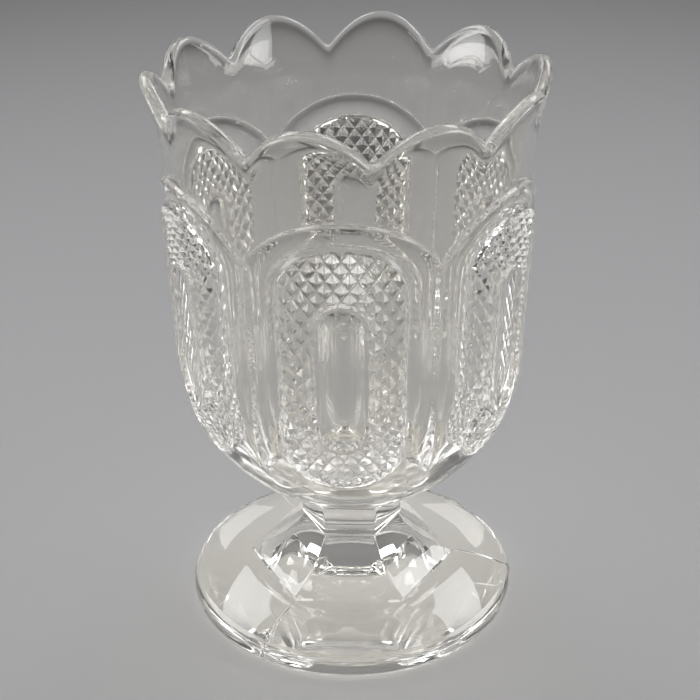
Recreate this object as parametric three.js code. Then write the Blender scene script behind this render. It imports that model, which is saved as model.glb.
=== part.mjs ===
// A footed sugar bowl of clear pressed glass, with a scalloped rim and no lid.
// Lengths are millimetres and angles degrees. The foot stands on z = 0, the bowl's axis is z,
// and the first of the arched panels faces -y. Angles grow from -y towards +x.
import * as THREE from 'three';

// Foot: a low round disc with a six-sided tent on it, hollow underneath
const footRadius = 40;
const footEdgeZ = 2.8; // the widest line of the rounded edge
const footEdgeTopZ = 5.4;
const footEdgeTopRadius = 38;
const footRingOuterRadius = 37.5; // the flat ring that the bowl stands on
const footRingInnerRadius = 24;
const footHollowRadius = 22;
const footHollowDepth = 6;
const discBulgeRadius = 33; // pulls the disc's top into its low dome
const discBulgeZ = 8.3;
const tentCornerRadius = 25.4;
const tentCornerZ = 9.6;
const tentSlopeRadius = 15.6; // pulls the tent's edges into their hollow curve
const tentSlopeZ = 13.2;
const footHeight = 20.3;

// Knop: a six-sided collar between foot and bowl
const knopCornerRadius = 12.6;
const knopHeight = 10.1;
const knopBevel = 0.9;

// Bowl: plain form
const bowlHeight = 105.1; // from the knop to the crest of the rim
const bellyHeight = 45.6; // from the knop to the end of the rounded bottom
const bellyRadius = 40.3;
const bottomDropPower = 2.6; // above 2 the rounded bottom runs straighter into the wall
const bottomSpreadPower = 1.62; // below 2 it is flatter towards the knop
const wallTaper = 0.045; // growth of the radius for each millimetre above the belly
const panelStep = 0.9; // how far the panels stand out from the wall above them
const glassThickness = 2.7;
const floorThickness = 5.2;

// Bowl: scalloped rim
const lobeCount = 10;
const lobeHeight = 7.6;
const notchAngle = 9;
const notchSoftness = 0.12;
const lobeFullness = 0.8; // below 1 the lobes are rounder than a sine wave
const lipFlare = 3.4;
const lipFlareHeight = 16;
const rimRollRadius = 1.5;

// Bowl: arched panels, with heights taken from the knop
const panelCount = 6;
const archTop = 85;
const archRadius = 25.5;
const archStepDraft = 0.6;
const panelBottom = 18.1;
const fluteDepth = 1.3;
const bandDepth = 0.45; // hollow of the plain band between the arch and the diamonds

// Panels: field of diamonds, and the long oval in it
const fieldHalfAngle = 19.5;
const fieldBottom = 20;
const fieldTop = 79.4;
const fieldEndHeight = 10.5;
const fieldBeadHeight = 0.25;
const diamondsAcross = 8;
const diamondsHigh = 13;
const diamondFieldAngle = 39;
const diamondHeight = 4.5;
const diamondDepth = 1;
const ovalHalfAngle = 7;
const ovalBottom = 31.4;
const ovalTop = 66.6;
const ovalBeadHeight = 0.5;
const ovalDepth = 0.9;

// Fineness of the faceted surfaces
const flutesColumns = 2;
const fluteRows = 8;
const wallRows = 3;
const rollSteps = 4;
const bottomRows = 5;
const innerColumns = 60;
const innerWallRows = 2;
const innerFloorTurns = [22, 42, 60, 75];
const footColumns = 48;
const footHollowTurns = [60, 30, 0];
const footEdgeRows = 2;
const discRows = 2;
const tentRows = 4;
const outlinePull = 0.55; // share of a grid cell within which a crossing moves to an outline

const knopBottomZ = footHeight;
const bowlBottomZ = footHeight + knopHeight;
const bowlTopZ = bowlBottomZ + bowlHeight;
const bellyZ = bowlBottomZ + bellyHeight;
const seatCornerRadius = knopCornerRadius - knopBevel; // where the knop meets its neighbours

const sine = degrees => Math.sin(THREE.MathUtils.degToRad(degrees));
const cosine = degrees => Math.cos(THREE.MathUtils.degToRad(degrees));
const mix = THREE.MathUtils.lerp;
const steps = count => Array.from({ length: count + 1 }, (_, i) => i / count);
const quarterEllipse = (radius, height, drop) =>
  radius * Math.sqrt(Math.max(0, 1 - (drop / height) ** 2));

// A closed faceted surface. A row is a list of vertices, each with its place "at" along the row.
class Surface {
  points = [];
  triangles = [];

  vertex(radius, angle, z, at = angle) {
    this.points.push(radius * sine(angle), -radius * cosine(angle), z);
    return { id: this.points.length / 3 - 1, at };
  }

  // Fills the strip between two rows, wherever the next vertex comes first. Where both come
  // at once, leans says whether the first row goes ahead.
  strip(first, second, leans = () => true) {
    let i = 0;
    let j = 0;
    while (i < first.length - 1 || j < second.length - 1) {
      const nextFirst = first[i + 1]?.at ?? Infinity;
      const nextSecond = second[j + 1]?.at ?? Infinity;
      const together = Math.abs(nextFirst - nextSecond) < 1e-6;
      if (together ? leans(i) : nextFirst < nextSecond) {
        this.triangles.push(first[i].id, second[j].id, first[i + 1].id);
        i += 1;
      } else {
        this.triangles.push(first[i].id, second[j].id, second[j + 1].id);
        j += 1;
      }
    }
  }

  // A ring of vertices round the axis; radius and z are numbers or functions of the angle.
  ring(columns, radius, z, angleAt = i => (360 * i) / columns) {
    const value = (size, angle) => (typeof size === 'function' ? size(angle) : size);
    return Array.from({ length: columns }, (_, i) => {
      const angle = angleAt(i);
      return this.vertex(value(radius, angle), angle, value(z, angle), i / columns);
    });
  }

  // Joins each ring to the next one; the rings run from the underside up, over and inwards.
  joinRings(rings) {
    const closed = ring => [...ring, { id: ring[0].id, at: ring[0].at + 1 }];
    for (let k = 0; k < rings.length - 1; k += 1) {
      this.strip(closed(rings[k + 1]), closed(rings[k]));
    }
  }

  // Closes a ring with a point on the axis.
  cap(ring, z, facesUp) {
    const centre = this.vertex(0, 0, z).id;
    ring.forEach((vertex, i) => {
      const next = ring[(i + 1) % ring.length];
      const edge = facesUp ? [vertex.id, next.id] : [next.id, vertex.id];
      this.triangles.push(centre, ...edge);
    });
  }

  geometry() {
    const geometry = new THREE.BufferGeometry();
    geometry.setAttribute('position', new THREE.Float32BufferAttribute(this.points, 3));
    geometry.setIndex(this.triangles);
    geometry.computeVertexNormals();
    return geometry;
  }
}

// Radius of a regular hexagon with a flat side towards angle 0, in the direction of an angle.
function hexagonRadius(cornerRadius, angle) {
  const fromSideCentre = ((((angle + 30) % 60) + 60) % 60) - 30;
  return (cornerRadius * cosine(30)) / cosine(fromSideCentre);
}

// Plain outer form of the bowl: a curve like a quarter ellipse, with its own powers for
// height and radius, from the knop to the belly, and then a slight taper.
function outerRadius(z) {
  const seatDrop =
    (1 - (seatCornerRadius / bellyRadius) ** bottomSpreadPower) ** (1 / bottomDropPower);
  const drop = (Math.max(0, bellyZ - z) / bellyHeight) * seatDrop;
  const spread = (1 - drop ** bottomDropPower) ** (1 / bottomSpreadPower);
  return bellyRadius * spread + wallTaper * Math.max(0, z - bellyZ);
}

// The lip opens in a curve that steepens towards the crest of the rim.
function flareRadius(z) {
  return lipFlare * Math.max(0, 1 - (bowlTopZ - z) / lipFlareHeight) ** 2;
}

const upperRadius = z => outerRadius(z) - panelStep + flareRadius(z);
const innerRadius = z => upperRadius(z) - glassThickness;

// Height of the rim: round lobes that meet in narrow notches with a small round bottom.
function rimZ(angle) {
  const wave = sine(((angle - notchAngle) * lobeCount) / 2);
  const softened = Math.hypot(wave, notchSoftness) - notchSoftness;
  const share = softened / (Math.hypot(1, notchSoftness) - notchSoftness);
  return bowlTopZ - lobeHeight * (1 - share ** lobeFullness);
}

// Height of a panel's arch, a round arc over the whole width of the panel.
function archZ(fromPanelCentre) {
  const across = THREE.MathUtils.degToRad(fromPanelCentre) * bellyRadius;
  const fall = archRadius - Math.sqrt(Math.max(0, archRadius ** 2 - across ** 2));
  return bowlBottomZ + archTop - fall;
}

// A long outline with straight sides and rounded ends. Measures a place by its share of the
// way from the outline's centre line to the outline, which is 1 on the outline itself.
function outline(halfAngle, bottomZ, topZ, endHeight) {
  const spring = z => THREE.MathUtils.clamp(z, bottomZ + endHeight, topZ - endHeight);
  const share = (angle, z) => Math.hypot(angle / halfAngle, (z - spring(z)) / endHeight);
  return {
    share,
    // Whether the outline passes close enough to a place to pull it in.
    isNear(angle, z) {
      const sideways = (Math.abs(angle) / halfAngle ** 2) * cellAngle;
      const upwards = (Math.abs(z - spring(z)) / endHeight ** 2) * cellHeight;
      const cell = (sideways + upwards) / share(angle, z);
      return Math.abs(share(angle, z) - 1) < outlinePull * cell;
    },
    nearest: (angle, z) => [
      angle / share(angle, z),
      spring(z) + (z - spring(z)) / share(angle, z),
    ],
  };
}

const panelAngle = 360 / panelCount;
const panelBottomZ = bowlBottomZ + panelBottom;
const cellAngle = diamondFieldAngle / diamondsAcross / 2;
const cellHeight = diamondHeight / 2;
const latticeRows = diamondsHigh * 2;
const latticeBottomZ =
  bowlBottomZ + (fieldBottom + fieldTop) / 2 - (diamondsHigh * diamondHeight) / 2;
const field = outline(
  fieldHalfAngle, bowlBottomZ + fieldBottom, bowlBottomZ + fieldTop, fieldEndHeight);
const ovalEndHeight = THREE.MathUtils.degToRad(ovalHalfAngle) * bellyRadius;
const oval = outline(ovalHalfAngle, bowlBottomZ + ovalBottom, bowlBottomZ + ovalTop, ovalEndHeight);

// Places one crossing of the diamonds' grid: [angle from the panel's centre, z, relief]. A
// crossing close to the field's or the oval's outline moves onto it, as part of its bead.
function gridPoint(column, row) {
  const angle = (column - diamondsAcross) * cellAngle;
  const z = latticeBottomZ + row * cellHeight;
  if (field.isNear(angle, z)) {
    return [...field.nearest(angle, z), fieldBeadHeight];
  }
  if (field.share(angle, z) > 1) {
    return [angle, z, -bandDepth];
  }
  if (oval.isNear(angle, z)) {
    return [...oval.nearest(angle, z), ovalBeadHeight];
  }
  const ovalShare = oval.share(angle, z);
  if (ovalShare < 1) {
    return [angle, z, -ovalDepth * (1 - ovalShare ** 2)];
  }
  const isPoint = (column + row) % 2 === 0;
  return [angle, z, isPoint ? 0 : -diamondDepth];
}

// One column of the panel's surface from its lower edge to its arch, at an angle from the
// panel's centre. Rows between are spread evenly, sunk by a depth.
function fluteColumn(skin, panelCentre, angle, depth) {
  const top = archZ(angle);
  return steps(fluteRows).map(share => {
    const z = mix(panelBottomZ, top, share);
    const sunk = share > 0 && share < 1 ? depth * Math.min(1, 4 * Math.min(share, 1 - share)) : 0;
    const at = mix(-1, latticeRows + 1, share);
    return skin.vertex(outerRadius(z) - sunk, panelCentre + angle, z, at);
  });
}

function fieldColumn(skin, panelCentre, column) {
  const ownAngle = (column - diamondsAcross) * cellAngle;
  const edge = (z, at) => skin.vertex(outerRadius(z), panelCentre + ownAngle, z, at);
  const crossings = Array.from({ length: latticeRows + 1 }, (_, row) => {
    const [angle, z, relief] = gridPoint(column, row);
    return skin.vertex(outerRadius(z) + relief, panelCentre + angle, z, row);
  });
  return [edge(panelBottomZ, -1), ...crossings, edge(archZ(ownAngle), latticeRows + 1)];
}

// All columns of the panels, once round the bowl, and each column's angle.
function panelColumns(skin) {
  const columns = [];
  const angles = [];
  const fluteAngle = (panelAngle - diamondFieldAngle) / 2;
  const fieldColumns = diamondsAcross * 2;
  for (let panel = 0; panel < panelCount; panel += 1) {
    const centre = panel * panelAngle;
    const addFlute = (angle, depth) => {
      columns.push(fluteColumn(skin, centre, angle, depth));
      angles.push(centre + angle);
    };
    addFlute(-panelAngle / 2, 0);
    for (let k = 1; k < flutesColumns; k += 1) {
      addFlute(-panelAngle / 2 + (fluteAngle * k) / flutesColumns, fluteDepth);
    }
    for (let column = 0; column <= fieldColumns; column += 1) {
      columns.push(fieldColumn(skin, centre, column));
      angles.push(centre + (column - diamondsAcross) * cellAngle);
    }
    for (let k = flutesColumns - 1; k > 0; k -= 1) {
      addFlute(panelAngle / 2 - (fluteAngle * k) / flutesColumns, fluteDepth);
    }
  }
  return { columns, angles };
}

// The bowl: rounded bottom, six arched panels, smooth upper wall, rolled scalloped rim, and a
// plain inside that follows the outer form.
function makeBowl() {
  const skin = new Surface();
  const { columns, angles } = panelColumns(skin);
  columns.forEach((column, i) => {
    const next = columns[(i + 1) % columns.length];
    skin.strip(column, next, row => (i % (columns.length / panelCount) + row) % 2 === 1);
  });
  const asRing = pick => columns.map((column, i) => ({ id: pick(column).id, at: i / columns.length }));
  const panelFoot = asRing(column => column[0]);
  const archEdge = asRing(column => column.at(-1));

  const innerAngle = i => angles[0] + (360 * i) / innerColumns;
  const seat = skin.ring(
    innerColumns, angle => hexagonRadius(seatCornerRadius, angle), bowlBottomZ, innerAngle);
  const roundRings = steps(bottomRows).slice(1, -1).map(share => {
    const z = mix(bowlBottomZ, panelBottomZ, share);
    return skin.ring(innerColumns, outerRadius(z), z, innerAngle);
  });

  const count = columns.length;
  const evenAngle = i => angles[0] + (360 * i) / count;
  const wallRings = steps(wallRows).map(share => {
    const place = i => {
      const fromCentre = angles[i] - panelAngle * Math.round(angles[i] / panelAngle);
      const angle = mix(angles[i], evenAngle(i), share);
      const z = mix(archZ(fromCentre) + archStepDraft, rimZ(evenAngle(i)) - rimRollRadius, share);
      return skin.vertex(upperRadius(z), angle, z, i / count);
    };
    return angles.map((_, i) => place(i));
  });

  // The rim is a half round, a little thicker than the wall.
  const rollRing = turn => {
    const z = angle => rimZ(angle) - rimRollRadius * (1 - sine(turn));
    const springZ = angle => rimZ(angle) - rimRollRadius;
    const middle = angle => (upperRadius(springZ(angle)) + innerRadius(springZ(angle))) / 2;
    return skin.ring(count, angle => middle(angle) + rimRollRadius * cosine(turn), z, evenAngle);
  };
  const rimRings = steps(rollSteps).map(share => rollRing(180 * share));

  // The inside starts a little below the notches and ends in a round floor.
  const innerTopZ = bowlTopZ - lobeHeight - 3 * rimRollRadius;
  const floorZ = bowlBottomZ + floorThickness;
  const innerWallZ = steps(innerWallRows).map(share => mix(innerTopZ, bellyZ, share));
  const innerFloorZ = innerFloorTurns.map(turn => bellyZ - (bellyZ - floorZ) * sine(turn));
  const floorRadius = z => quarterEllipse(innerRadius(bellyZ), bellyZ - floorZ, bellyZ - z);
  const innerRings = [
    ...innerWallZ.map(z => skin.ring(innerColumns, innerRadius(z), z, innerAngle)),
    ...innerFloorZ.map(z => skin.ring(innerColumns, floorRadius(z), z, innerAngle)),
  ];

  skin.cap(seat, bowlBottomZ, false);
  skin.joinRings([seat, ...roundRings, panelFoot]);
  skin.joinRings([archEdge, ...wallRings, ...rimRings, ...innerRings]);
  skin.cap(innerRings.at(-1), floorZ, true);
  return skin.geometry();
}

function makeKnop() {
  const skin = new Surface();
  const profile = [
    [seatCornerRadius, 0],
    [knopCornerRadius, knopBevel],
    [knopCornerRadius, knopHeight - knopBevel],
    [seatCornerRadius, knopHeight],
  ];
  const cornerAngle = i => 30 + 60 * i;
  const rings = profile.map(([radius, height]) =>
    skin.ring(6, radius, knopBottomZ + height, cornerAngle));
  skin.cap(rings[0], knopBottomZ, false);
  skin.joinRings(rings);
  skin.cap(rings.at(-1), knopBottomZ + knopHeight, true);
  return skin.geometry();
}

// Points of a curve from start to end that is pulled towards a place; all are [radius, z].
function bow(start, pull, end, rows) {
  const [a, b, c] = [start, pull, end].map(place => new THREE.Vector2(...place));
  return new THREE.QuadraticBezierCurve(a, b, c).getPoints(rows).map(place => place.toArray());
}

function makeFoot() {
  const skin = new Surface();
  const round = ([radius, z]) => skin.ring(footColumns, radius, z);
  const hexagon = ([radius, z]) =>
    skin.ring(footColumns, angle => hexagonRadius(radius, angle), z);
  const standing = [footRingOuterRadius, 0];
  const widest = [footRadius, footEdgeZ];
  const edgeTop = [footEdgeTopRadius, footEdgeTopZ];
  const tentFoot = [tentCornerRadius, tentCornerZ];
  const tentTop = [seatCornerRadius, footHeight];
  const hollowRings = footHollowTurns.map(turn =>
    round([footHollowRadius * cosine(turn), footHollowDepth * sine(turn)]));
  const rings = [
    ...hollowRings,
    round([footRingInnerRadius, 0]),
    ...bow(standing, [footRadius, 0], widest, footEdgeRows).map(round),
    ...bow(widest, [footRadius, footEdgeTopZ], edgeTop, footEdgeRows).slice(1).map(round),
    ...bow(edgeTop, [discBulgeRadius, discBulgeZ], tentFoot, discRows).slice(1, -1).map(round),
    ...bow(tentFoot, [tentSlopeRadius, tentSlopeZ], tentTop, tentRows).map(hexagon),
  ];
  skin.cap(hollowRings[0], footHollowDepth, false);
  skin.joinRings(rings);
  skin.cap(rings.at(-1), footHeight, true);
  return skin.geometry();
}

function makeMesh(name, geometry) {
  const glass = new THREE.MeshStandardMaterial({
    name: 'clear_pressed_glass',
    color: 0xdfe3dc,
    roughness: 0.06,
    metalness: 0,
    transparent: true,
    opacity: 0.35,
  });
  const mesh = new THREE.Mesh(geometry, glass);
  mesh.name = name;
  return mesh;
}

const group = new THREE.Group();
group.add(makeMesh('bowl', makeBowl()), makeMesh('knop', makeKnop()), makeMesh('foot', makeFoot()));

export default group;
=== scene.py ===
"""A footed sugar bowl of clear pressed glass, on a pale floor in soft studio light.

Shapes are worked out in millimetres, with the bowl's axis as z and the foot standing on z = 0,
and become metres when a mesh is made. Angles round the axis are degrees from -y, where the
first panel's middle is, and grow towards +x.
"""

import math

import bpy
import numpy as np
from mathutils import Matrix, Vector
from mathutils.geometry import delaunay_2d_cdt


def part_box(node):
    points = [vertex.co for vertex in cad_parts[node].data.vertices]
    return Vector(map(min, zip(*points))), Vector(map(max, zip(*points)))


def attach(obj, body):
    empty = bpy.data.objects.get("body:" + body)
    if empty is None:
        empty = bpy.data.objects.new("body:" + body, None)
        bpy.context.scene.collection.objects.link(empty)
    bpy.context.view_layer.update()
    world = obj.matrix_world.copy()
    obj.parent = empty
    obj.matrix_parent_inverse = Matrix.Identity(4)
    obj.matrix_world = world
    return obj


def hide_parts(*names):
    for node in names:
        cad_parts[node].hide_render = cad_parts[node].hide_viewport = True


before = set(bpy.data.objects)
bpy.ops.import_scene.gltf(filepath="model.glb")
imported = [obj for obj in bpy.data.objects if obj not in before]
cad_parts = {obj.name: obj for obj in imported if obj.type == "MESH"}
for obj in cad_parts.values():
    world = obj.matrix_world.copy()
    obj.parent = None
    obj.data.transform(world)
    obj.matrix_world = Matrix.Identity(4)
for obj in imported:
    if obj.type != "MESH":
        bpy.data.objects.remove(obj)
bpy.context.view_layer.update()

MM = 0.001
TINY = 1e-6  # keeps a divisor above zero

# The frame's own sizes, millimetres
foot_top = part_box("foot")[1][2] / MM
foot_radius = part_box("foot")[1][0] / MM
knop_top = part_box("knop")[1][2] / MM
knop_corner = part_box("knop")[1][0] / MM
rim_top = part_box("bowl")[1][2] / MM

# Knop: six-sided, with a bevel at the planes where it meets the bowl and the foot. Its edge is
# given from such a plane to the waist, as depth inside the corners and distance from the plane
knop_bevel = 0.9
knop_edge = np.array([[knop_bevel, 0], [0.5, 0.04], [0.2, 0.16], [0.05, 0.4], [0, 0.75],
                      [0.08, 1.1], [0.2, 1.6], [0.28, 2.4], [0.3, 3.6]])
seat_corner = knop_corner - knop_bevel
corner_sharpness = 60

# Bowl, plain form
belly_z = knop_top + 45.6
belly_radius = 40.3
bottom_drop_power = 2.6
bottom_spread_power = 1.62
seat_height = 1.6  # over which the six-sided seat turns into the round bottom
floor_z = knop_top + 5.2
wall_taper = 0.045
panel_step = 0.9
glass_thickness = 2.7

# Bowl, rim
lobe_count = 10
lobe_height = 7.6
lobe_fullness = 0.8
notch_angle = 9.0
notch_softness = 0.12
lip_flare = 3.4
lip_flare_height = 16.0
roll_radius = 1.5

# Rim bead: the glass is thicker at the fire-polished lip
bead_inwards = 0.6
bead_outwards = 0.12
bead_reach = 2.6

# Bowl, rows of points in each band of the surface
wall_rows = 18
wall_evening = 1.25  # above 1 the points are evenly spread round the axis before the lip
lip_rows = 13
inner_wall_rows = 20
inner_wall_crowding = 1.5  # above 1 the rows lie closer at the rim
floor_rows = 26
bottom_rows = 26
bottom_crowding = 1.2  # above 1 the rows lie closer at the knop

# Foot, places on its outline as radius and height, from the ring it stands on up to the tent,
# with rows of points. A curve between two places bends towards its pull
foot_ring = (37.5, 0)
brim = (foot_radius, 2.8)
shoulder = (38, 5.4)
disc_pull = (33, 8.3)
disc_end = (26.0, 9.3)
tent_edge = [(25.9, 9.35), (25.5, 9.8), (25.1, 9.95)]
tent_pull = (15.6, 13.2)
hollow_centre = 0.4
hollow_radius = 23.5
hollow_height = 6.0
brim_rows = 9
disc_rows = 44
tent_rows = 26
hollow_rows = 30

# Foot, seams of the three-part mould, with a chip beside the first. The columns of points at
# a seam and the chip's turn are in degrees from it
seam_angles = np.array([-30, 90, 210])
seam_height = 0.14
seam_width = 0.2
seam_columns = np.array([-1.6, -1.1, -0.75, -0.5, -0.3, -0.15, 0, 0.15, 0.3, 0.5, 0.75, 1.1, 1.6])
seam_clearance = 0.2
seam_fade = 0.6  # distance from the tent over which the seams begin
chip_turn = 0.5
chip_radius = 36.9
chip_depth = 0.7
chip_half_width = 0.85
chip_half_length = 1.4
chip_roughness = 0.5

# Panels: x runs across a panel from its middle, measured on the belly, and y is the height
panel_count = 6
panel_half = math.radians(180 / panel_count) * belly_radius
panel_foot = knop_top + 18.7
degrees_per_mm = 180 / math.pi / belly_radius
arch_radius = 25.5
arch_top = knop_top + 85.0
arch_spring = arch_top - arch_radius
arch_columns = 48
ridge_width = 0.45
inner_half = panel_half - ridge_width
inner_arch_radius = arch_radius - ridge_width

# Panels, the rounded step over the arch, as share of its depth and height over the arch
arch_step = np.array([[0, 0], [0.06, 0.08], [0.2, 0.14], [0.78, 0.3], [0.93, 0.38], [1, 0.55]])

# Panels, the hollow flutes beside the field
flute_depth = 1.25
flute_width = 8.0
flute_widest = 1.1  # share of that width up to which a flute grows deeper
flute_depth_power = 1.5
flute_end_low = knop_top + 21.9
flute_end_high = knop_top + 28.1
flute_end_steepness = 2.2
flute_corner_power = 3.0

# Panels, the field of diamonds and the long oval, as half width, bottom, top, end height, each
# with the half width and height of its bead and its fall to the sides
field = (math.radians(19.5) * belly_radius, knop_top + 20.0, knop_top + 79.4, 10.5)
field_middle = (field[1] + field[2]) / 2
field_bead = 0.4
field_bead_height = 0.45
field_bead_fall = 3.2  # per square millimetre
oval = (4.9, knop_top + 31.4, knop_top + 66.6, 4.9)
oval_bead = 0.78
oval_bead_height = 0.6
oval_bead_fall = 0.48  # at its half width
oval_edge_height = 0.12
oval_scoop = 1.15
oval_scoop_width = 4.27
diamond_columns = 8
diamond_width = 2 * field[0] / diamond_columns
diamond_height = 4.5
last_ridge = 14  # level ridges, counted up or down from the field's middle
last_valley = 23  # slanting valleys, counted across
diamond_depth = 1.25
diamond_cut = 0.95  # share of their height at which the points are blunt
diamond_edge = 0.045  # how far an edge's rounding reaches, in cells

# Panels, distances between points, and how clear of lines loose points stay
side_spacing = 0.8
field_spacing = 0.7
oval_spacing = 0.6
loose_spacing = 0.85
loose_clearance = 0.55 * loose_spacing

# Lamps
lamp_target = Vector((0, 0, 0.08))
lamp_beam = 90


def quarter_ellipse(radius, height, drop):
    """Radius of an ellipse with the half axes radius and height, a drop below its middle."""
    return radius * np.sqrt(np.clip(1 - (drop / height) ** 2, 0, 1))


def outer_radius(z):
    """Outer form: a curve like a quarter ellipse from the knop up to the belly, with its own
    powers for height and radius, and then a slight taper."""
    seat_spread = (seat_corner / belly_radius) ** bottom_spread_power
    drop = np.maximum(0, belly_z - z) / (belly_z - knop_top)
    spread = 1 - drop**bottom_drop_power * (1 - seat_spread)
    radius = belly_radius * spread ** (1 / bottom_spread_power)
    return radius + wall_taper * np.maximum(0, z - belly_z)


def flare(z):
    """The lip opens with the square of the height over the start of the flare."""
    return lip_flare * np.clip(1 - (rim_top - z) / lip_flare_height, 0, None) ** 2


def upper_radius(z):
    """Outer side of the smooth wall above the panels."""
    return outer_radius(z) - panel_step + flare(z)


def inner_radius(z):
    """Inner side of the wall; below the belly it is a quarter ellipse down to the floor."""
    below = np.maximum(0, belly_z - z)
    width = belly_radius - panel_step - glass_thickness
    wall = quarter_ellipse(width, belly_z - floor_z, below)
    return wall + wall_taper * np.maximum(0, z - belly_z) + flare(z)


def lip_bead(z, crest):
    """How much of the rim's bead is there: a bell of the depth under the crest."""
    return np.exp(-(((crest - z) / bead_reach) ** 2))


def upper_outside(z, crest):
    """Outer side of the smooth wall, with the rim's bead."""
    return upper_radius(z) + bead_outwards * lip_bead(z, crest)


def upper_inside(z, crest):
    """Inner side of the wall above the belly, with the rim's bead."""
    return inner_radius(z) - bead_inwards * lip_bead(z, crest)


def rim_z(angle):
    """Rim height: a sine's absolute value, softened at its zeros, raised to the fullness."""
    wave = np.sin(np.radians((angle - notch_angle) * lobe_count / 2))
    softened = np.hypot(wave, notch_softness) - notch_softness
    share = softened / (math.hypot(1, notch_softness) - notch_softness)
    return rim_top - lobe_height * (1 - share**lobe_fullness)


def distance(outline, x, y):
    """Distance of points from a long outline, positive outside: the share of the way from the
    centre line, less 1, over the length of its gradient."""
    half, bottom, top, end = outline
    rise = y - np.clip(y, bottom + end, top - end)
    share = np.maximum(np.hypot(x / half, rise / end), TINY)
    slope = np.hypot(x / half**2, rise / end**2) / share
    return (share - 1) / np.maximum(slope, TINY)


class Track:
    """A long outline moved outwards by an offset, as a closed line of points by length. The
    point at turn t of an end is (half cos t, end sin t), moved along the end's normal."""

    def __init__(self, outline, offset, spacing):
        half, bottom, top, end = outline
        step = 0.25
        turn = np.radians(np.arange(0, 360, step) + step / 2)
        normal = np.stack([np.cos(turn) / half, np.sin(turn) / end])
        normal /= np.hypot(*normal)
        middle = np.where(np.sin(turn) > 0, top - end, bottom + end)
        curve = np.stack([half * np.cos(turn), middle + end * np.sin(turn)]) + offset * normal
        self.curve = np.append(curve, curve[:, :1], axis=1)
        pieces = np.hypot(*np.diff(self.curve))
        self.length = np.append(0, np.cumsum(pieces))
        self.spacing = spacing
        self.cuts = np.zeros(0)

    def at(self, places):
        """Points at places, which are lengths along the track."""
        return np.stack([np.interp(places, self.length, axis) for axis in self.curve], axis=1)

    def nearest(self, points):
        """Places along the track that are nearest to points, among many tried."""
        tried = 6000
        fine = np.linspace(0, self.length[-1], tried)
        gaps = np.hypot(*(points[:, None, :] - self.at(fine)[None]).transpose(2, 0, 1))
        return fine[np.argmin(gaps, axis=1)]

    def points(self):
        """Even points and those where other lines end on the track, which take the place of
        even ones that are nearer than a share of the spacing."""
        share = 0.45
        total = self.length[-1]
        even = np.arange(0, total, total / round(total / self.spacing))
        gap = np.abs(even[:, None] - self.cuts[None])
        near = np.minimum(gap, total - gap) < share * self.spacing
        return self.at(np.sort(np.concatenate([even[~near.any(axis=1)], self.cuts])))


def arch_y(x):
    """The arch over a panel: a round arc."""
    return arch_spring + np.sqrt(arch_radius**2 - x**2)


def inside_arch(x, y, radius):
    """How far points lie inside an arch of a radius; under the spring it is an upright side."""
    return radius - np.hypot(x, np.maximum(0, y - arch_top + arch_radius))


def flute_end(x):
    """Height at which the flutes end: a straight slope from the ridge up to the field."""
    share = (inner_half - np.abs(x)) / (inner_half - field[0] - field_bead)
    return flute_end_low + (flute_end_high - flute_end_low) * share


def edge_distance(x, y):
    """How far points lie inside the flutes' edge: the smooth least of three distances. The
    lower end counts more than its distance, so that it is steep."""
    side = inner_half - np.abs(x)
    arch = inside_arch(x, y, inner_arch_radius)
    end = (y - flute_end(x)) * flute_end_steepness
    least = [np.maximum(part, 1e-4) ** -flute_corner_power for part in (side, arch, end)]
    return sum(least) ** (-1 / flute_corner_power)


def diamonds(x, y):
    """Pyramids on lozenges: 1 at a point, and 0 on the slanting valleys between them, two of
    which cross in the field's middle. The larger of the distances from a point's two slanting
    lines, with parabolas at the edges."""
    across = 2 * x / diamond_width
    up = 2 * (y - field_middle) / diamond_height + 1
    first = np.abs((across + up) / 2 - np.round((across + up) / 2))
    second = np.abs((across - up) / 2 - np.round((across - up) / 2))
    ridge = np.maximum(diamond_edge - np.abs(first - second), 0) ** 2 / (4 * diamond_edge)
    rise = 0.5 - np.minimum(np.maximum(first, second) + ridge, 0.5)
    valley = np.maximum(diamond_edge - rise, 0) ** 2 / (2 * diamond_edge)
    return 2 * (rise + valley)


def relief(x, y):
    """How far the panel's surface stands out from the plain form. From outside in: ridge,
    hollow flute, fine bead, diamonds, oval bead, hollow oval. A flute is a parabola across its
    room; the fine bead falls with the square of the distance from its middle and the oval's
    with the fourth power; the oval is hollow with the square of the distance from its edge."""
    from_field = distance(field, x, y)
    from_oval = distance(oval, x, y)
    from_edge = edge_distance(x, y)
    room = np.maximum(from_field - field_bead, 0) + from_edge
    share = np.clip(from_edge / np.maximum(room, TINY), 0, 1)
    width = np.minimum(room / flute_width, flute_widest)
    flute = -flute_depth * width**flute_depth_power * 4 * share * (1 - share)
    pyramid = -diamond_depth * (1 - np.minimum(diamonds(x, y), diamond_cut))
    fine_bead = field_bead_height - field_bead_fall * from_field**2
    round_bead = oval_bead_height - oval_bead_fall * (from_oval / oval_bead) ** 4
    inwards = np.clip(1 + (from_oval + oval_bead) / oval_scoop_width, 0, 1)
    scoop = oval_edge_height - oval_scoop * (1 - inwards**2)
    own = 0.9  # a bead's outer points belong to the form beyond it
    outside = from_field > own * field_bead
    levels = [
        (outside & (from_edge <= 0.01), 0 * x),
        (outside, flute),
        (from_field > -own * field_bead, fine_bead),
        (from_oval > own * oval_bead, pyramid),
        (from_oval > -own * oval_bead, round_bead),
    ]
    return np.select([where for where, _ in levels], [level for _, level in levels], scoop)


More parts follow.
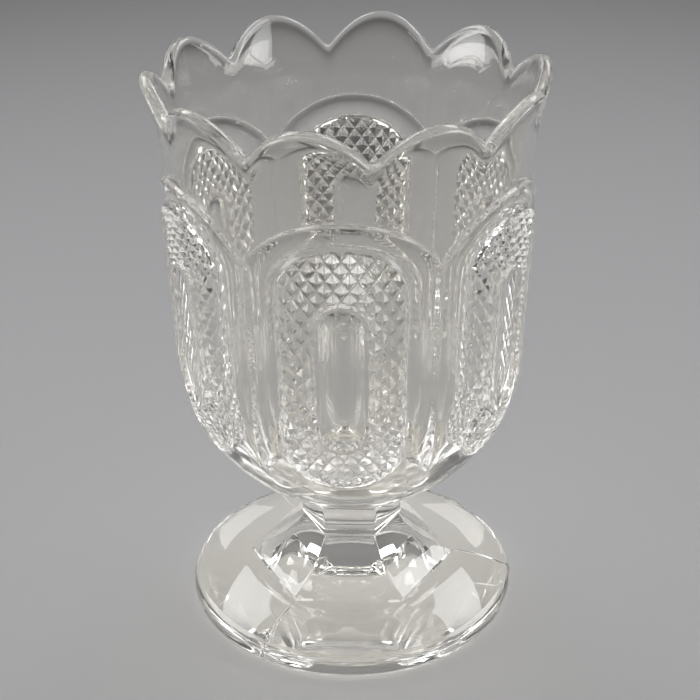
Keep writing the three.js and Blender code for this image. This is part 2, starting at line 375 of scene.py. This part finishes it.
def diamond_lines():
    """Long lines over the field: upright and level ones along the ridges and slanting ones
    along the valleys, each with a line at either side where its rounding ends."""
    sides = np.array([-diamond_edge, 0, diamond_edge])
    half_width, half_height = diamond_width / 2, diamond_height / 2
    half_length = 60.0

    def lines(last, direction, step):
        """Lines by number from -last to last, a step of the x axis or the y axis apart."""
        numbers = np.arange(-last, last + 1)
        offset = (numbers[:, None] + sides).ravel()[:, None] * np.array(step)
        along = np.array(direction) / np.hypot(*direction) * half_length
        return offset - along + [0, field_middle], offset + along + [0, field_middle]

    families = (
        lines(diamond_columns, (0, 1), (half_width, 0)),
        lines(last_ridge, (1, 0), (0, half_height)),
        lines(last_valley, (half_width, half_height), (diamond_width, 0)),
        lines(last_valley, (half_width, -half_height), (diamond_width, 0)),
    )
    return [np.concatenate([family[end] for family in families]) for end in (0, 1)]


def diamond_edges(inner, outer):
    """The long lines cut off at the oval's track and the field's, as pairs of points: changes
    between samples, halved many times. A track keeps the places where lines end on it, so
    that the beads' lines have points there."""
    samples, halvings = 1200, 24

    def inside(points):
        x, y = points[..., 0], points[..., 1]
        return (distance(field, x, y) < -field_bead) & (distance(oval, x, y) > oval_bead)

    first, second = diamond_lines()
    shares = np.linspace(0, 1, samples)
    way = second - first
    within = inside(first[:, None] + way[:, None] * shares[:, None])
    line, step = np.nonzero(within[:, 1:] != within[:, :-1])
    entering = within[line, step + 1]
    share_in = np.where(entering, shares[step + 1], shares[step])
    share_out = np.where(entering, shares[step], shares[step + 1])
    for _ in range(halvings):
        share = (share_in + share_out) / 2
        hit = inside(first[line] + way[line] * share[:, None])
        share_in = np.where(hit, share, share_in)
        share_out = np.where(hit, share_out, share)
    ends = first[line] + way[line] * share_in[:, None]
    gap_field = np.abs(distance(field, *ends.T) + field_bead)
    gap_oval = np.abs(distance(oval, *ends.T) - oval_bead)
    at_oval = gap_oval < gap_field
    for track, mine in ((inner, at_oval), (outer, ~at_oval)):
        places = np.round(track.nearest(ends[mine]), 2)
        track.cuts = np.unique(places)
        ends[mine] = track.at(places)
    return ends[0::2], ends[1::2]


class Drawing:
    """Points and lines on the flat of a panel, and the triangles between them."""

    def __init__(self):
        self.places = []
        self.lines = []
        self.count = 0

    def add(self, points, closed=None):
        """Adds points; closed is None for loose points, else whether the line runs round."""
        self.places.append(points)
        ids = np.arange(self.count, self.count + len(points))
        self.count += len(points)
        if closed is not None:
            ends = np.roll(ids, -1)
            keep = slice(None) if closed else slice(0, -1)
            self.lines.append(np.stack([ids, ends], axis=1)[keep])

    def add_pairs(self, first, second):
        """Adds lines from each first point to its second point."""
        self.add(first)
        self.add(second)
        ids = np.arange(len(first))
        start = self.count - 2 * len(first)
        self.lines.append(np.stack([start + ids, start + len(first) + ids], axis=1))

    def triangles(self):
        """Points and triangles of the plane between the lines, with new points where they
        cross."""
        places = [Vector(place) for place in np.concatenate(self.places)]
        lines = np.concatenate(self.lines).tolist()
        found = delaunay_2d_cdt(places, lines, [], 0, 1e-4)
        return np.array([tuple(place) for place in found[0]]), np.array(found[2])


def even(low, high, spacing):
    """Even values from low to high, about a spacing apart."""
    return np.linspace(low, high, round(abs(high - low) / spacing) + 1)


def upright(x, heights):
    """Points at heights on an upright line."""
    return np.stack([np.full(len(heights), x), heights], axis=1)


def mirrored(points):
    """The same line on the panel's other side, from its last point to its first."""
    return points[::-1] * [-1, 1]


def panel_border():
    """The panel's outer border: arch from right to left, left side, lower edge, right side."""
    turn = math.asin(panel_half / arch_radius) * np.linspace(1, -1, arch_columns + 1)
    arch = np.stack([arch_radius * np.sin(turn), arch_spring + arch_radius * np.cos(turn)], axis=1)
    x = np.linspace(-panel_half, panel_half, arch_columns + 1)
    foot = np.stack([x, np.full(len(x), panel_foot)], axis=1)
    right = upright(panel_half, even(panel_foot, arch_y(panel_half), side_spacing)[1:-1])
    return arch, mirrored(right), foot, right


def flute_border():
    """Lines where the flutes meet the ridge and end below: the right end, the right side, the
    arch, the left side and the left end, and a line just above each end, where it is steep."""
    just_above = 0.35
    turn = math.asin(inner_half / inner_arch_radius) * np.linspace(1, -1, arch_columns)
    arch = inner_arch_radius * np.stack([np.sin(turn), np.cos(turn)], axis=1)
    arch += [0, arch_spring]
    right = upright(inner_half, even(flute_end(inner_half), arch[0, 1], side_spacing)[1:-1])
    x = even(field[0] + field_bead / 2, inner_half, 0.6)
    end = np.stack([x, flute_end(x)], axis=1)
    above = end[:-1] + [0, just_above]
    return end, right, arch, mirrored(right), mirrored(end), above, mirrored(above)


def loose_points():
    """Rows of points in the flutes and the oval, off the lines there."""
    rows = np.arange(panel_foot, arch_top, loose_spacing * math.sqrt(0.75))
    x, y = np.meshgrid(np.arange(-panel_half, panel_half, loose_spacing), rows)
    x = x + loose_spacing / 2 * (np.arange(len(rows)) % 2)[:, None]
    x, y = x.ravel(), y.ravel()
    off_lines = np.minimum(np.abs(y - flute_end(x)), inner_half - np.abs(x))
    off_border = np.minimum(y - panel_foot, inside_arch(x, y, arch_radius))
    in_flute = distance(field, x, y) > field_bead + loose_clearance
    in_flute &= off_lines > loose_clearance
    in_flute &= off_border > loose_clearance + ridge_width
    in_oval = distance(oval, x, y) < -oval_bead - loose_clearance
    return np.stack([x, y], axis=1)[in_flute | in_oval]


def panel_mesh():
    """One panel on the flat: its border, the flutes' lines, the diamonds' edges, the beads'
    lines, and loose points."""
    drawing = Drawing()
    drawing.add(np.concatenate(panel_border()), closed=True)
    for line in flute_border():
        drawing.add(line, closed=False)
    oval_foot = Track(oval, oval_bead, oval_spacing)
    field_foot = Track(field, -field_bead, field_spacing)
    drawing.add_pairs(*diamond_edges(oval_foot, field_foot))
    for offset in (-0.2, 0, 0.2, field_bead):
        drawing.add(Track(field, offset, field_spacing).points(), closed=True)
    for offset in (-oval_bead, -0.5, -0.2, 0.2, 0.5):
        drawing.add(Track(oval, offset, oval_spacing).points(), closed=True)
    drawing.add(oval_foot.points(), closed=True)
    drawing.add(field_foot.points(), closed=True)
    drawing.add(loose_points())
    return drawing.triangles()


def polar(radius, angle, z):
    """Points in space from arrays of radius, angle in degrees and height."""
    turn = np.radians(angle)
    return np.stack(np.broadcast_arrays(radius * np.sin(turn), -radius * np.cos(turn), z), axis=-1)


def grid_faces(rows, columns):
    """Quads of a grid whose rows run round the axis and lie under each other from last to
    first; each row's last point joins its first."""
    low = np.arange((rows - 1) * columns).reshape(rows - 1, columns)
    beside = np.roll(low, -1, axis=1)
    return np.stack([low, beside, beside + columns, low + columns], axis=-1).reshape(-1, 4)


class Shell:
    """Collects patches of points and faces, and makes them one closed mesh."""

    def __init__(self):
        self.points = []
        self.faces = []
        self.count = 0

    def patch(self, points, faces):
        self.points.append(points.reshape(-1, 3))
        self.faces += (faces + self.count).tolist()
        self.count += len(self.points[-1])

    def grid(self, points):
        self.patch(points, grid_faces(*points.shape[:2]))

    def disc(self, ring, faces_up):
        """Closes a ring of points with a fan to its middle."""
        count = len(ring)
        ids = np.arange(count)
        pair = [ids, np.roll(ids, -1)] if faces_up else [np.roll(ids, -1), ids]
        fan = np.stack([np.full(count, count), *pair], axis=1)
        self.patch(np.concatenate([ring, ring.mean(axis=0)[None]]), fan)

    def piece(self, name, sharp_angle):
        """One object of all patches, shaded smooth but for edges sharper than the angle."""
        mesh = bpy.data.meshes.new(name)
        points = np.concatenate(self.points) * MM
        mesh.from_pydata(points.tolist(), [], self.faces)
        piece = bpy.data.objects.new(name, mesh)
        bpy.context.scene.collection.objects.link(piece)
        weld(piece)
        mesh.shade_smooth()
        mesh.set_sharp_from_angle(angle=math.radians(sharp_angle))
        modifier = piece.modifiers.new("flat_facets", "WEIGHTED_NORMAL")
        modifier.keep_sharp = True
        bpy.ops.object.modifier_apply(modifier=modifier.name)
        return piece


def weld(piece):
    """Merges the points that neighbouring patches share."""
    reach = 2e-6  # metres
    bpy.context.view_layer.objects.active = piece
    modifier = piece.modifiers.new("weld", "WELD")
    modifier.merge_threshold = reach
    bpy.ops.object.modifier_apply(modifier=modifier.name)


def hexagon(corner, angle):
    """Radius of a hexagon with a flat side at angle 0 and rounded corners: the apothem over
    the p-norm of the cosines towards its sides, where p is the sharpness."""
    sides = np.radians(np.asarray(angle)[..., None] - np.arange(0, 360, 60))
    reach = np.clip(np.cos(sides), 0, None) ** corner_sharpness
    apothem = corner * math.cos(math.radians(30))
    return apothem * reach.sum(axis=-1) ** (-1 / corner_sharpness)


def make_bowl():
    """The panels, then bands of points from their arches over the rim to the floor inside, and
    from their lower edges down to the knop. The bands start at the panels' own angles and turn
    to even ones."""
    shell = Shell()
    flat, triangles = panel_mesh()
    x, y = flat.T
    radius = outer_radius(y) + relief(x, y)
    centres = np.arange(panel_count) * 360 / panel_count
    for centre in centres:
        shell.patch(polar(radius, centre + x * degrees_per_mm, y), triangles)

    arch, _, foot, _ = panel_border()
    arch_x, arch_z = np.tile(arch[::-1][:-1].T, panel_count)
    foot_x = np.tile(foot[:-1, 0], panel_count)
    middle = np.repeat(centres, arch_columns)
    arch_angle = middle + arch_x * degrees_per_mm
    foot_angle = middle + foot_x * degrees_per_mm
    columns = panel_count * arch_columns
    even_angle = arch_angle[0] + np.arange(columns) * 360 / columns
    crest = rim_z(even_angle)

    # The step over the arches
    sunk, raised = arch_step[:, :1], arch_step[:, 1:]
    z = arch_z + raised
    above = upper_outside(z, crest)
    shell.grid(polar(outer_radius(z) + (above - outer_radius(z)) * sunk, arch_angle, z))

    # The smooth wall above them
    share = np.linspace(0, 1, wall_rows)[:, None]
    turned = arch_angle + (even_angle - arch_angle) * np.clip(share * wall_evening, 0, 1)
    low = arch_z + arch_step[-1, 1]
    spring = crest - roll_radius
    z = low + (spring - low) * share
    shell.grid(polar(upper_outside(z, crest), turned, z))

    # The round lip
    outer_side = upper_outside(spring, crest)
    inner_side = upper_inside(spring, crest)
    middle = (outer_side + inner_side) / 2
    half = (outer_side - inner_side) / 2
    turn = np.radians(np.linspace(0, 180, lip_rows))[:, None]
    z = spring + roll_radius * np.sin(turn)
    shell.grid(polar(middle + half * np.cos(turn), even_angle, z))

    # The inner wall, and the round floor, which a fan closes where it is almost level
    share = np.linspace(0, 1, inner_wall_rows)[:, None] ** inner_wall_crowding
    z = spring + (belly_z - spring) * share
    shell.grid(polar(upper_inside(z, crest), even_angle, z))
    turn = np.radians(np.linspace(0, 89, floor_rows))[:, None]
    z = belly_z - (belly_z - floor_z) * np.sin(turn)
    inside = polar(inner_radius(belly_z) * np.cos(turn), even_angle, z)
    shell.grid(inside)
    shell.disc(inside[-1], faces_up=True)

    # The bottom, from the six-sided seat up to the panels
    share = np.linspace(0, 1, bottom_rows)[:, None]
    z = knop_top + (panel_foot - knop_top) * share**bottom_crowding
    angle = even_angle + (foot_angle - even_angle) * share
    seat = hexagon(seat_corner, angle)
    blend = np.clip(1 - (z - knop_top) / seat_height, 0, 1) ** 2
    plain = outer_radius(z)
    bottom = polar(plain + (seat - plain) * blend, angle, z)
    shell.grid(bottom)
    shell.disc(bottom[0], faces_up=False)
    return shell.piece("bowl_glass", sharp_angle=50)


def make_knop():
    """Six-sided rings down the edge, round the waist and up the mirrored edge."""
    shell = Shell()
    angle = np.arange(0, 360, 1.0)
    height = knop_top - foot_top
    waist = [[knop_edge[-1, 0], height / 2]]
    upper_edge = knop_edge[::-1] * [1, -1] + [0, height]
    sunk, rise = np.concatenate([knop_edge, waist, upper_edge]).T[:, :, None]
    rings = polar(hexagon(1.0, angle) * (knop_corner - sunk), angle, foot_top + rise)
    shell.grid(rings)
    shell.disc(rings[0], faces_up=False)
    shell.disc(rings[-1], faces_up=True)
    return shell.piece("knop_glass", sharp_angle=28)


def bow(start, pull, end, rows):
    """Rows of radius and height on a curve from start to end, pulled towards a place."""
    t = np.linspace(0, 1, rows)[:, None]
    points = (1 - t) ** 2 * np.array(start) + 2 * t * (1 - t) * np.array(pull)
    return points + t**2 * np.array(end)


def mould_marks(angle, radius):
    """How far the foot stands out at its three mould seams, less a chip beside one of them:
    bells of the distance across a seam, and of the distance from the chip, whose floor is
    rough with a product of waves."""
    marks = 0
    for seam in seam_angles:
        across = radius * np.radians((angle - seam + 180) % 360 - 180)
        marks = marks + seam_height * np.exp(-(across / seam_width) ** 2)
    across = radius * np.radians(angle - seam_angles[0] % 360 + chip_turn)
    along = radius - chip_radius
    from_chip = np.hypot(across / chip_half_width, along / chip_half_length)
    rough = 1 + chip_roughness * np.sin(5 * across) * np.cos(4 * along)
    return marks - chip_depth * rough * np.exp(-(from_chip**4))


def make_foot():
    """Round rings from the middle of the hollow out to the ring it stands on, over the brim
    and the disc, and then six-sided ones up the tent. The marks stand off the disc's outline."""
    shell = Shell()
    seams = (seam_angles[:, None] + seam_columns).ravel() % 360
    plain = np.arange(0, 360, 1.0)
    off_seams = np.abs((plain[:, None] - seams + 180) % 360 - 180).min(axis=1)
    angle = np.sort(np.concatenate([plain[off_seams > seam_clearance], seams]))

    reach = np.linspace(hollow_centre, hollow_radius, hollow_rows)[:, None]
    rise = hollow_height * (1 - (reach / hollow_radius) ** 4) ** 2
    under = polar(reach, angle, rise)

    lower = bow(foot_ring, (foot_radius, 0), brim, brim_rows)
    upper = bow(brim, (foot_radius, shoulder[1]), shoulder, brim_rows)
    disc = bow(shoulder, disc_pull, disc_end, disc_rows)
    edge = np.concatenate([lower, upper[1:], disc[1:-1]])
    along = np.gradient(edge, axis=0)
    outwards = np.stack([along[:, 1], -along[:, 0]], axis=1)
    outwards /= np.hypot(*outwards.T)[:, None]
    marks = mould_marks(angle, edge[:, :1])
    marks[:3] = 0  # the foot stands on these rows
    marks *= np.clip((edge[:, :1] - tent_edge[0][0]) / seam_fade, 0, 1)
    radius = edge[:, :1] + outwards[:, :1] * marks
    height = edge[:, 1:] + outwards[:, 1:] * marks

    slope = bow(tent_edge[-1], tent_pull, (seat_corner, foot_top), tent_rows)
    tent = np.concatenate([tent_edge, slope[1:]])
    tents = polar(tent[:, :1] * hexagon(1.0, angle), angle, tent[:, 1:])

    rings = np.concatenate([under, polar(radius, angle, height), tents])
    shell.grid(rings)
    shell.disc(rings[0], faces_up=False)
    shell.disc(rings[-1], faces_up=True)
    return shell.piece("foot_glass", sharp_angle=28)


def add_node(nodes, kind, **values):
    node = nodes.new(kind)
    for name, value in values.items():
        node.inputs[name].default_value = value
    return node


def make_glass():
    """Clear pressed glass: faint ripples from the mould, and lamps shine through it."""
    glass = bpy.data.materials.new("clear_pressed_glass")
    glass.use_nodes = True
    nodes, links = glass.node_tree.nodes, glass.node_tree.links
    shader = nodes["Principled BSDF"]
    shader.inputs["Base Color"].default_value = (0.98, 0.967, 0.93, 1)
    shader.inputs["Roughness"].default_value = 0.03
    shader.inputs["IOR"].default_value = 1.5
    shader.inputs["Transmission Weight"].default_value = 1
    place = nodes.new("ShaderNodeTexCoord")
    ripple = add_node(nodes, "ShaderNodeTexNoise", Scale=70, Detail=2)
    bump = add_node(nodes, "ShaderNodeBump", Strength=0.06, Distance=0.001)
    links.new(place.outputs["Object"], ripple.inputs["Vector"])
    links.new(ripple.outputs["Fac"], bump.inputs["Height"])
    links.new(bump.outputs["Normal"], shader.inputs["Normal"])
    path = nodes.new("ShaderNodeLightPath")
    clear = add_node(nodes, "ShaderNodeBsdfTransparent", Color=(0.86, 0.852, 0.83, 1))
    mix = nodes.new("ShaderNodeMixShader")
    links.new(path.outputs["Is Shadow Ray"], mix.inputs["Fac"])
    links.new(shader.outputs["BSDF"], mix.inputs[1])
    links.new(clear.outputs["BSDF"], mix.inputs[2])
    links.new(mix.outputs["Shader"], nodes["Material Output"].inputs["Surface"])
    return glass


def make_joint():
    """The planes where two pieces meet are clear, since the real bowl is one body of glass."""
    joint = bpy.data.materials.new("joint_in_the_glass")
    joint.use_nodes = True
    nodes, links = joint.node_tree.nodes, joint.node_tree.links
    clear = add_node(nodes, "ShaderNodeBsdfTransparent", Color=(1, 1, 1, 1))
    links.new(clear.outputs["BSDF"], nodes["Material Output"].inputs["Surface"])
    return joint


def dress(piece, materials, joints):
    """Gives a piece its glass, and the clear joint to its level faces in a joint's plane, told
    by the faces' normals and the heights of their middles."""
    for material in materials:
        piece.data.materials.append(material)
    mesh = piece.data
    centres = np.empty(len(mesh.polygons) * 3)
    normals = np.empty(len(mesh.polygons) * 3)
    mesh.polygons.foreach_get("center", centres)
    mesh.polygons.foreach_get("normal", normals)
    height = centres.reshape(-1, 3)[:, 2] / MM
    level = np.abs(normals.reshape(-1, 3)[:, 2]) > 0.999
    at_joint = np.min([np.abs(height - joint) for joint in joints], axis=0) < 0.01
    mesh.polygons.foreach_set("material_index", (level & at_joint).astype(np.int32))


def make_floor():
    """A wide pale floor, a hair under the foot."""
    half, z = 2.5, -0.0002
    mesh = bpy.data.meshes.new("floor")
    corners = [(-half, -half, z), (half, -half, z), (half, half, z), (-half, half, z)]
    mesh.from_pydata(corners, [], [(0, 1, 2, 3)])
    floor = bpy.data.objects.new("floor", mesh)
    bpy.context.scene.collection.objects.link(floor)
    paint = bpy.data.materials.new("pale_floor")
    paint.use_nodes = True
    shader = paint.node_tree.nodes["Principled BSDF"]
    shader.inputs["Base Color"].default_value = (0.42, 0.42, 0.43, 1)
    shader.inputs["Roughness"].default_value = 0.6
    mesh.materials.append(paint)


def make_world():
    """A dim room, so that the soft boxes and the dark between them draw the glass. It grows
    lighter with the cosine of the angle from a place behind the bowl and above it."""
    world = bpy.data.worlds.new("room")
    bpy.context.scene.world = world
    world.use_nodes = True
    nodes, links = world.node_tree.nodes, world.node_tree.links
    place = nodes.new("ShaderNodeTexCoord")
    cosine = nodes.new("ShaderNodeVectorMath")
    cosine.operation = "DOT_PRODUCT"
    cosine.inputs[1].default_value = (0, 0.87, 0.5)
    ramp = nodes.new("ShaderNodeValToRGB")
    ramp.color_ramp.interpolation = "EASE"
    ramp.color_ramp.elements[0].position = 0.55
    ramp.color_ramp.elements[0].color = (0.07, 0.07, 0.07, 1)
    ramp.color_ramp.elements[1].position = 1.0
    ramp.color_ramp.elements[1].color = (0.26, 0.26, 0.26, 1)
    links.new(place.outputs["Generated"], cosine.inputs[0])
    links.new(cosine.outputs["Value"], ramp.inputs["Fac"])
    links.new(ramp.outputs["Color"], nodes["Background"].inputs["Color"])


def make_lamp(name, azimuth, elevation, far, size, power):
    """A soft box that faces the bowl, at an azimuth from -y towards +x and an elevation. A grid
    on it keeps its light to a cone, so that the floor grows darker away from the bowl."""
    turn, rise = math.radians(azimuth), math.radians(elevation)
    way = Vector((math.sin(turn) * math.cos(rise), -math.cos(turn) * math.cos(rise),
                  math.sin(rise)))
    lamp = bpy.data.lights.new(name, "AREA")
    lamp.shape = "RECTANGLE"
    lamp.size, lamp.size_y = size
    lamp.spread = math.radians(lamp_beam)
    lamp.energy = power
    holder = bpy.data.objects.new(name, lamp)
    bpy.context.scene.collection.objects.link(holder)
    holder.location = lamp_target + way * far
    holder.rotation_euler = (-way).to_track_quat("-Z", "Y").to_euler()


def make_camera():
    """The photograph's view, from a fit to the rim, the knop and the foot."""
    distance_out, height = 0.3194, 0.2339
    azimuth, pitch, roll = math.radians(2.4), 0.484, 0.009
    picture_width, focal_length = 700, 1525.8
    level = Vector((-math.sin(azimuth), math.cos(azimuth), 0))
    forward = level * math.cos(pitch) + Vector((0, 0, -math.sin(pitch)))
    right = Vector((math.cos(azimuth), math.sin(azimuth), 0))
    up = right.cross(forward)
    tilted = (right - up * roll).normalized()
    up = tilted.cross(forward).normalized()
    camera = bpy.data.objects.new("camera", bpy.data.cameras.new("camera"))
    bpy.context.scene.collection.objects.link(camera)
    place = -level * distance_out + Vector((0, 0, height))
    axes = Matrix((tilted, up, -forward)).transposed().to_4x4()
    camera.matrix_world = Matrix.Translation(place) @ axes
    camera.data.sensor_fit = "HORIZONTAL"
    camera.data.sensor_width = 36
    camera.data.lens = 36 * focal_length / picture_width
    camera.data.clip_start = 0.01
    bpy.context.scene.camera = camera


def let_light_through(bounces):
    """Light crosses and mirrors in a wall of glass many times before it leaves; a ray that is
    stopped on its way would draw a black edge."""
    paths = bpy.context.scene.cycles
    paths.max_bounces = bounces
    paths.glossy_bounces = bounces
    paths.transmission_bounces = bounces
    paths.transparent_max_bounces = bounces


glass = make_glass()
joint = make_joint()
for node, make, joints in (
    ("bowl", make_bowl, [knop_top]),
    ("knop", make_knop, [foot_top, knop_top]),
    ("foot", make_foot, [foot_top]),
):
    piece = make()
    dress(piece, [glass, joint], joints)
    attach(piece, "root")
    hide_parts(node)

let_light_through(24)
make_floor()
make_world()
make_lamp("window_left", -132, 46, 1.05, (0.8, 0.36), 1.12)
make_lamp("window_right", 134, 46, 1.05, (0.8, 0.36), 1.12)
make_lamp("side_left", -75, 14, 0.9, (0.7, 0.3), 1.0)
make_lamp("side_right", 75, 14, 0.9, (0.7, 0.3), 1.0)
make_camera()
bpy.context.scene.view_settings.view_transform = "Standard"
